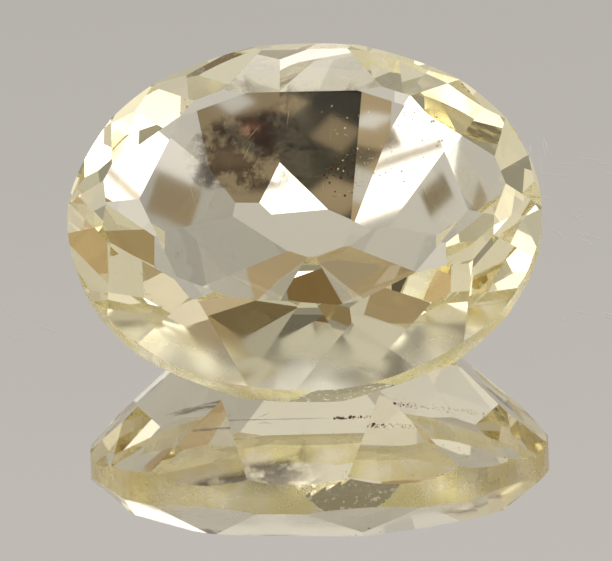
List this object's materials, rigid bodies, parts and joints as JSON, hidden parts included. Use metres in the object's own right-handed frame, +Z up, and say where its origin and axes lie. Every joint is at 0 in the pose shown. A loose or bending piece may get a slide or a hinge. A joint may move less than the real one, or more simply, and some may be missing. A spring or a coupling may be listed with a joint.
{
  "type": "faceted orthoclase gem",
  "caption": "Oval mixed-cut gem of clear pale yellow orthoclase: flat table, kite-shaped crown facets, frosted girdle, a thin healed crack inside, and a deep pavilion it rests on.",
  "frame": {"origin": "centre of the stone's box, on the surface it rests on", "axes": "+X along the oval's long axis, -Y towards the side that the table leans to, +Z up"},
  "size_m": [0.012, 0.009, 0.0065],
  "materials": {
    "clear_orthoclase": "polished clear pale yellow feldspar, ground and frosted girdle"
  },
  "bodies": {
    "root": {"orthoclase_gem": "clear_orthoclase"}
  },
  "joints": []
}
